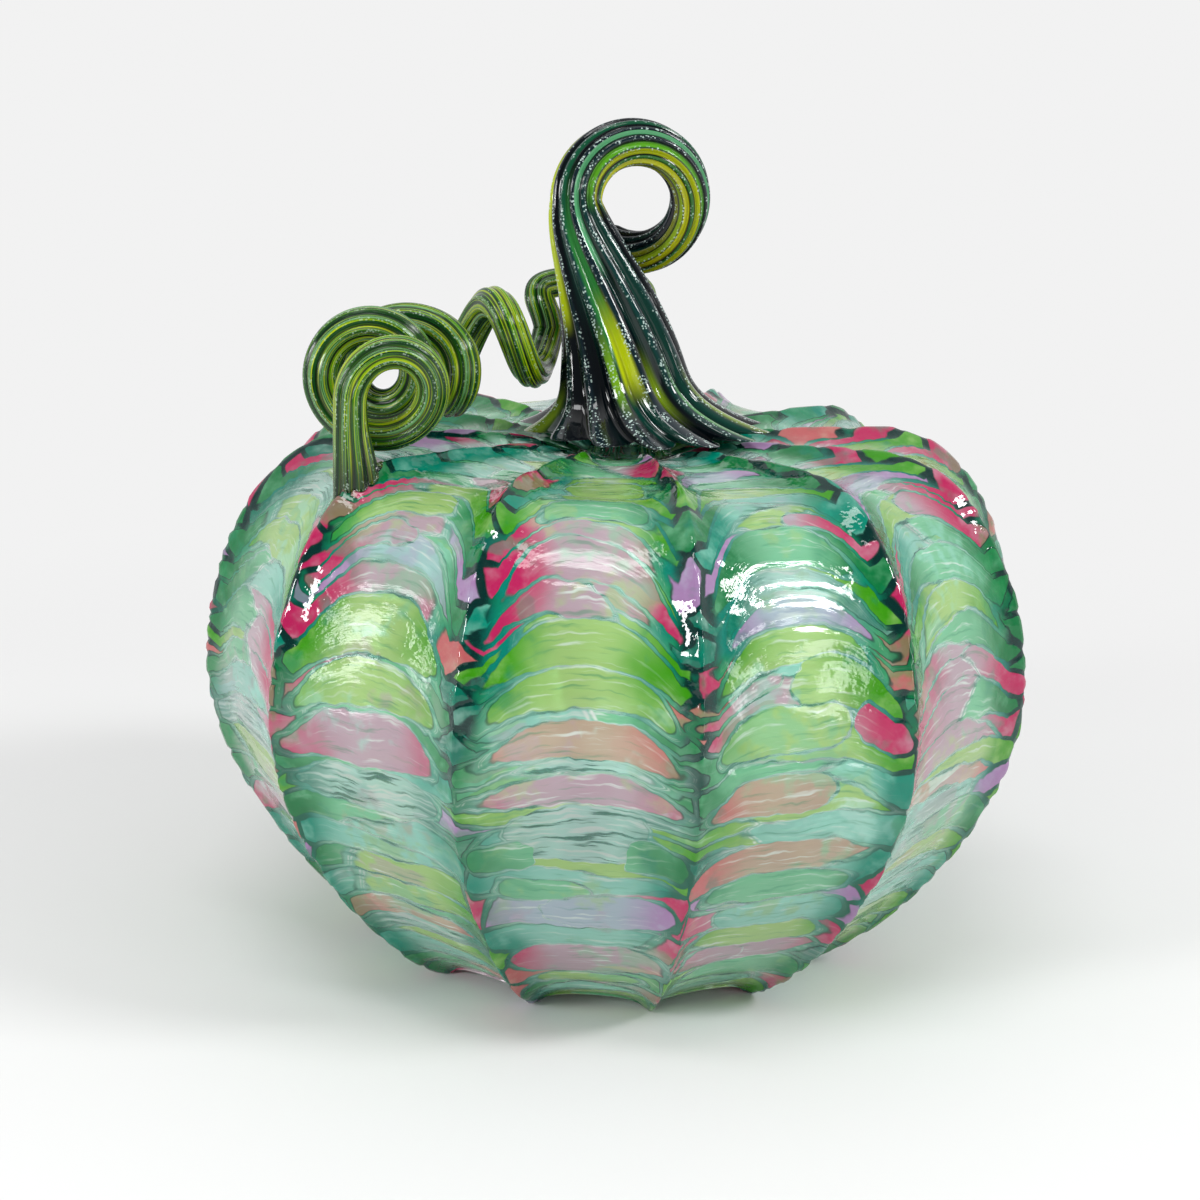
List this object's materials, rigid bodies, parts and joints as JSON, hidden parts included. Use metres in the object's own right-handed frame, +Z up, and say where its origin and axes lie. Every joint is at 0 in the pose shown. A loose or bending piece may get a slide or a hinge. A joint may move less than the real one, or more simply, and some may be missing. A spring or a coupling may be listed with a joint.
{
  "type": "glass pumpkin ornament",
  "caption": "Blown glass pumpkin with a ribbed hollow body, a fluted stem that curls at its tip, and a corkscrew tendril.",
  "frame": {"origin": "on the table, under the middle of the body", "axes": "+Z up through the body, -Y towards the front of the picture, +X to its right"},
  "size_m": [0.1752, 0.1752, 0.1793],
  "materials": {
    "body_glass": "clear blown glass with fused green, pink, lilac and teal chips, glossy",
    "stem_glass": "nearly black green fluted glass with lime stripes, glossy",
    "tendril_glass": "lime and dark green striped fluted cane, glossy"
  },
  "bodies": {
    "root": {"body_shell": "body_glass", "stem": "stem_glass", "tendril": "tendril_glass"}
  },
  "joints": []
}
